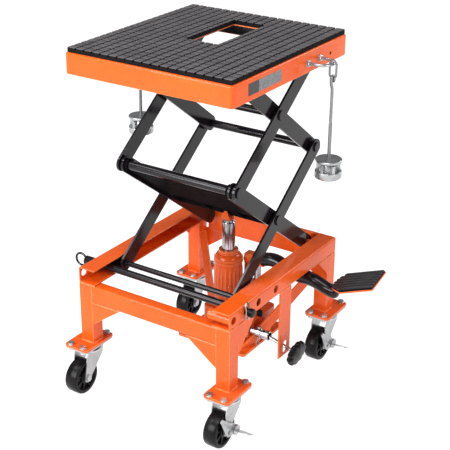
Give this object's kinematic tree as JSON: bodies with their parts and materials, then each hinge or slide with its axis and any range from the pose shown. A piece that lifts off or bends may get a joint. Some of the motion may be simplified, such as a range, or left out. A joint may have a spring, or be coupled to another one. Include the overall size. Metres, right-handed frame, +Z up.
{
  "type": "scissor lift table",
  "caption": "Foot-pumped two-stage scissor lift table on swivel casters, with a bottle jack, a rubber-topped deck with a centre opening and hanging tie-down rods.",
  "frame": {"origin": "floor level under the middle of the outline, with the deck at its stored height", "axes": "+Z up; +X along the front crossbeam towards the pedal side; +Y back along the rails, away from the lock bar"},
  "size_m": [0.6256, 0.5254, 0.7612],
  "materials": {
    "orange_paint": "glossy orange powder coat",
    "black_paint": "glossy black paint",
    "zinc_plate": "bright zinc plating",
    "chrome_plate": "polished hard chrome",
    "deck_rubber": "matte moulded rubber with square blocks",
    "pedal_rubber": "matte ribbed rubber",
    "wheel_nylon": "satin black nylon",
    "knob_plastic": "satin black plastic"
  },
  "bodies": {
    "base": {"rail_left": "orange_paint", "rail_right": "orange_paint", "crossbeam_front": "orange_paint", "crossbeam_back": "orange_paint", "leg_front_left": "orange_paint", "leg_front_right": "orange_paint", "leg_back_left": "orange_paint", "leg_back_right": "orange_paint", "jack_cradle": "orange_paint", "release_guide_bar": "orange_paint", "caster_plate_front_left": "zinc_plate", "caster_plate_front_right": "zinc_plate", "caster_plate_back_left": "zinc_plate", "caster_plate_back_right": "zinc_plate"},
    "lower_inner": {"lower_inner_arm_left": "black_paint", "lower_inner_arm_right": "black_paint", "lift_plate": "black_paint"},
    "lower_outer": {"lower_outer_arm_left": "black_paint", "lower_outer_arm_right": "black_paint", "roller_axle": "black_paint"},
    "upper_inner": {"upper_inner_arm_left": "black_paint", "upper_inner_arm_right": "black_paint", "rear_cross_tube": "black_paint", "upper_centre_tube": "black_paint"},
    "upper_outer": {"upper_outer_arm_left": "black_paint", "upper_outer_arm_right": "black_paint"},
    "deck": {"deck_tray": "orange_paint", "deck_pad": "deck_rubber", "deck_channel_left": "black_paint", "deck_channel_right": "black_paint", "u_bolt_left": "zinc_plate", "u_bolt_right": "zinc_plate"},
    "jack": {"jack_body": "orange_paint"},
    "ram": {"jack_ram": "chrome_plate", "ram_head": "orange_paint"},
    "piston": {"pump_piston": "chrome_plate"},
    "pedal": {"pedal_arm": "black_paint", "pedal_pad": "pedal_rubber"},
    "release_valve": {"release_socket": "zinc_plate"},
    "release_handle": {"release_knob": "knob_plastic"},
    "lock": {"lock_bar": "black_paint"},
    "lock_clip": {"r_clip": "zinc_plate"},
    "base_roller_left_body": {"base_roller_left": "wheel_nylon"},
    "deck_roller_left_body": {"deck_roller_left": "wheel_nylon"},
    "base_roller_right_body": {"base_roller_right": "wheel_nylon"},
    "deck_roller_right_body": {"deck_roller_right": "wheel_nylon"},
    "swivel_front_left": {"caster_fork_front_left": "zinc_plate"},
    "wheel_front_left": {"caster_wheel_front_left": "wheel_nylon"},
    "swivel_front_right": {"caster_fork_front_right": "zinc_plate"},
    "wheel_front_right": {"caster_wheel_front_right": "wheel_nylon"},
    "brake_front_right": {"caster_brake_front_right": "zinc_plate"},
    "swivel_back_left": {"caster_fork_back_left": "zinc_plate"},
    "wheel_back_left": {"caster_wheel_back_left": "wheel_nylon"},
    "swivel_back_right": {"caster_fork_back_right": "zinc_plate"},
    "wheel_back_right": {"caster_wheel_back_right": "wheel_nylon"},
    "brake_back_right": {"caster_brake_back_right": "zinc_plate"},
    "tie_rod_left": {"hook_rod_left": "zinc_plate"},
    "tie_clamp_left": {"clamp_nut_left": "zinc_plate"},
    "tie_rod_right": {"hook_rod_right": "zinc_plate"},
    "tie_clamp_right": {"clamp_nut_right": "zinc_plate"}
  },
  "joints": [
    {"name": "lift", "type": "hinge", "parent": "base", "child": "lower_inner", "pos_m": [-0.04931, 0.2009, 0.2714], "axis": [-1, 0, 0], "range_deg": [-2.4, 22]},
    {"name": "lower_outer_swing", "type": "hinge", "parent": "lower_inner", "child": "lower_outer", "pos_m": [-0.04931, 0.0472, 0.38625], "axis": [-1, 0, 0], "range_deg": [-45, 5]},
    {"name": "upper_inner_swing", "type": "hinge", "parent": "lower_outer", "child": "upper_inner", "pos_m": [-0.04931, 0.2009, 0.5011], "axis": [-1, 0, 0], "range_deg": [-5, 45]},
    {"name": "upper_outer_swing", "type": "hinge", "parent": "upper_inner", "child": "upper_outer", "pos_m": [-0.04931, 0.0472, 0.61595], "axis": [-1, 0, 0], "range_deg": [-45, 5]},
    {"name": "deck_level", "type": "hinge", "parent": "upper_outer", "child": "deck", "pos_m": [-0.04931, 0.2009, 0.7308], "axis": [-1, 0, 0], "range_deg": [-3, 23]},
    {"name": "jack_tilt", "type": "hinge", "parent": "base", "child": "jack", "pos_m": [-0.04931, 0.0812, 0.103], "axis": [-1, 0, 0], "range_deg": [-1, 8.3]},
    {"name": "ram_slide", "type": "slide", "parent": "jack", "child": "ram", "axis": [0, 0, 1], "range_m": [-0.006, 0.044]},
    {"name": "base_roller_left_spin", "type": "hinge", "parent": "lower_outer", "child": "base_roller_left_body", "pos_m": [-0.21631, -0.1065, 0.2714], "axis": [1, 0, 0], "continuous": true},
    {"name": "deck_roller_left_spin", "type": "hinge", "parent": "upper_inner", "child": "deck_roller_left_body", "pos_m": [-0.21631, -0.1065, 0.7308], "axis": [1, 0, 0], "continuous": true},
    {"name": "base_roller_right_spin", "type": "hinge", "parent": "lower_outer", "child": "base_roller_right_body", "pos_m": [0.11769, -0.1065, 0.2714], "axis": [1, 0, 0], "continuous": true},
    {"name": "deck_roller_right_spin", "type": "hinge", "parent": "upper_inner", "child": "deck_roller_right_body", "pos_m": [0.11769, -0.1065, 0.7308], "axis": [1, 0, 0], "continuous": true},
    {"name": "pedal_press", "type": "hinge", "parent": "jack", "child": "pedal", "pos_m": [-0.01531, 0.1112, 0.246], "axis": [0, 1, 0], "range_deg": [0, 15], "stiffness_Nm_per_rad": 14, "springref_deg": -22.92},
    {"name": "pump_stroke", "type": "slide", "parent": "jack", "child": "piston", "axis": [0, 0, -1], "range_m": [0, 0.0091]},
    {"name": "release_turn", "type": "hinge", "parent": "jack", "child": "release_valve", "pos_m": [0.07069, 0.0212, 0.122], "axis": [1, 0, 0], "range_deg": [0, 90]},
    {"name": "release_handle_turn", "type": "hinge", "parent": "jack", "child": "release_handle", "pos_m": [0.08769, 0.0212, 0.122], "axis": [0.9779, -0.0661, -0.1982], "range_deg": [0, 90]},
    {"name": "lock_bar_turn", "type": "hinge", "parent": "base", "child": "lock", "pos_m": [-0.04931, -0.1438, 0.272], "axis": [1, 0, 0], "continuous": true},
    {"name": "lock_clip_pull", "type": "slide", "parent": "lock", "child": "lock_clip", "axis": [0, 0, 1], "range_m": [0, 0.06]},
    {"name": "swivel_front_left_turn", "type": "hinge", "parent": "base", "child": "swivel_front_left", "pos_m": [-0.22771, -0.1931, 0.1], "axis": [0, 0, 1], "continuous": true},
    {"name": "wheel_front_left_spin", "type": "hinge", "parent": "swivel_front_left", "child": "wheel_front_left", "pos_m": [-0.22771, -0.2247, 0.038], "axis": [1, 0, 0], "continuous": true},
    {"name": "swivel_front_right_turn", "type": "hinge", "parent": "base", "child": "swivel_front_right", "pos_m": [0.12909, -0.1931, 0.1], "axis": [0, 0, 1], "continuous": true},
    {"name": "wheel_front_right_spin", "type": "hinge", "parent": "swivel_front_right", "child": "wheel_front_right", "pos_m": [0.12909, -0.2247, 0.038], "axis": [1, 0, 0], "continuous": true},
    {"name": "brake_front_right_press", "type": "hinge", "parent": "swivel_front_right", "child": "brake_front_right", "pos_m": [0.15409, -0.2247, 0.038], "axis": [-1, 0, 0], "range_deg": [0, 14]},
    {"name": "swivel_back_left_turn", "type": "hinge", "parent": "base", "child": "swivel_back_left", "pos_m": [-0.22771, 0.2155, 0.1], "axis": [0, 0, 1], "continuous": true},
    {"name": "wheel_back_left_spin", "type": "hinge", "parent": "swivel_back_left", "child": "wheel_back_left", "pos_m": [-0.22771, 0.1839, 0.038], "axis": [1, 0, 0], "continuous": true},
    {"name": "swivel_back_right_turn", "type": "hinge", "parent": "base", "child": "swivel_back_right", "pos_m": [0.12909, 0.2155, 0.1], "axis": [0, 0, 1], "continuous": true},
    {"name": "wheel_back_right_spin", "type": "hinge", "parent": "swivel_back_right", "child": "wheel_back_right", "pos_m": [0.12909, 0.1839, 0.038], "axis": [1, 0, 0], "continuous": true},
    {"name": "brake_back_right_press", "type": "hinge", "parent": "swivel_back_right", "child": "brake_back_right", "pos_m": [0.15409, 0.1839, 0.038], "axis": [-1, 0, 0], "range_deg": [0, 14]},
    {"name": "tie_rod_left_swing", "type": "hinge", "parent": "deck", "child": "tie_rod_left", "pos_m": [-0.28531, 0.0832, 0.728], "axis": [0, 1, 0], "range_deg": [-8, 80]},
    {"name": "tie_clamp_left_travel", "type": "slide", "parent": "tie_rod_left", "child": "tie_clamp_left", "axis": [0, 0, 1], "range_m": [0, 0.065]},
    {"name": "tie_rod_right_swing", "type": "hinge", "parent": "deck", "child": "tie_rod_right", "pos_m": [0.18669, 0.0832, 0.728], "axis": [0, -1, 0], "range_deg": [-8, 80]},
    {"name": "tie_clamp_right_travel", "type": "slide", "parent": "tie_rod_right", "child": "tie_clamp_right", "axis": [0, 0, 1], "range_m": [0, 0.065]}
  ],
  "couplings": [
    {"joint": "lower_outer_swing", "follows": "lift", "ratio": -2},
    {"joint": "upper_inner_swing", "follows": "lift", "ratio": 2},
    {"joint": "upper_outer_swing", "follows": "lift", "ratio": -2},
    {"joint": "deck_level", "follows": "lift", "ratio": 1},
    {"joint": "jack_tilt", "follows": "lift", "ratio": 0.365},
    {"joint": "ram_slide", "follows": "lift", "m_per_rad": 0.1095},
    {"joint": "pump_stroke", "follows": "pedal_press", "m_per_rad": 0.0345},
    {"joint": "release_handle_turn", "follows": "release_turn", "ratio": 1}
  ]
}
